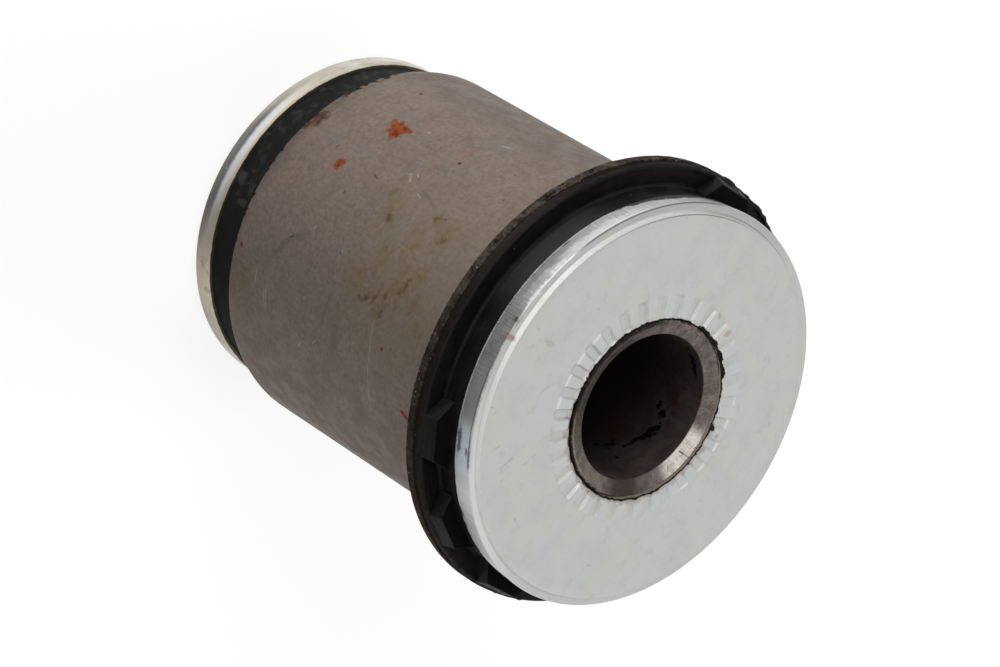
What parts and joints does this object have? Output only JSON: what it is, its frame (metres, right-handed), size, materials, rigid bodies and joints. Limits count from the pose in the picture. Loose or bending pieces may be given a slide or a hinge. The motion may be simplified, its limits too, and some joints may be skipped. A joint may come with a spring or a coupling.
{
  "type": "rubber metal bush",
  "caption": "Suspension-arm bush: rubber bonded between a steel inner tube and a collared outer sleeve, with a zinc-plated washer on each end and serrations on the large one.",
  "frame": {"origin": "centre of the rear (small) washer's outer face, on the axis, where the bush stands", "axes": "+Z along the axis, from the rear washer to the front (large, serrated) washer; the lugs are in two groups, centred at 333.4 and 153.4 degrees from +X towards +Y"},
  "size_m": [0.0554, 0.0554, 0.0604],
  "materials": {
    "turned_steel": "turned, dull, dirty",
    "phosphated_steel": "matt grey-brown phosphate with rust spots",
    "black_rubber": "semi-matt moulded",
    "bright_zinc": "pale zinc plating, satin",
    "yellowed_zinc": "slightly yellowed zinc plating"
  },
  "bodies": {
    "root": {"inner_tube": "turned_steel", "outer_sleeve": "phosphated_steel", "rubber_body": "black_rubber", "front_washer": "bright_zinc", "rear_washer": "yellowed_zinc"}
  },
  "joints": []
}
